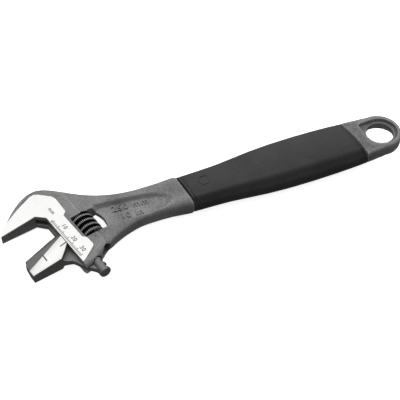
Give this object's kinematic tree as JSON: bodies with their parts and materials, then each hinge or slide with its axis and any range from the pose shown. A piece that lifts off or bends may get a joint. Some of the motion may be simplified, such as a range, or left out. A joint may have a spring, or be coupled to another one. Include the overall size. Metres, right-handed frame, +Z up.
{
  "type": "adjustable wrench",
  "caption": "Adjustable wrench with a reversible jaw fitted pipe side in, thumb knurl, soft grip sleeve and hanging hole.",
  "frame": {"origin": "centre of the outline at its lowest point, the tool lying flat", "axes": "+X from the jaws to the hanging hole, +Y toward the fixed jaw side, +Z up through the thickness"},
  "size_m": [0.256, 0.072, 0.018],
  "materials": {
    "forged_steel": "grey phosphated forging with ground faces",
    "jaw_steel": "ground and phosphated steel",
    "black_steel": "black oxide steel with knurled crests",
    "pin_steel": "turned steel",
    "spring_wire": "drawn spring wire",
    "grip_plastic": "moulded thermoplastic with fine grain"
  },
  "bodies": {
    "handle": {"body": "forged_steel", "knurl_pin": "pin_steel", "knurl_spring": "spring_wire", "grip_sleeve": "grip_plastic"},
    "jaw": {"movable_jaw": "jaw_steel"},
    "worm": {"knurl": "black_steel"}
  },
  "joints": [
    {"name": "jaw_slide", "type": "slide", "parent": "handle", "child": "jaw", "axis": [0.2588, -0.9659, 0], "range_m": [-0.012, 0.0095]},
    {"name": "knurl_turn", "type": "hinge", "parent": "handle", "child": "worm", "pos_m": [-0.07955, -0.00044, 0.009], "axis": [0.2588, -0.9659, 0], "range_deg": [-1085, 860]}
  ],
  "couplings": [
    {"joint": "knurl_turn", "follows": "jaw_slide", "rad_per_m": 1570.8}
  ]
}
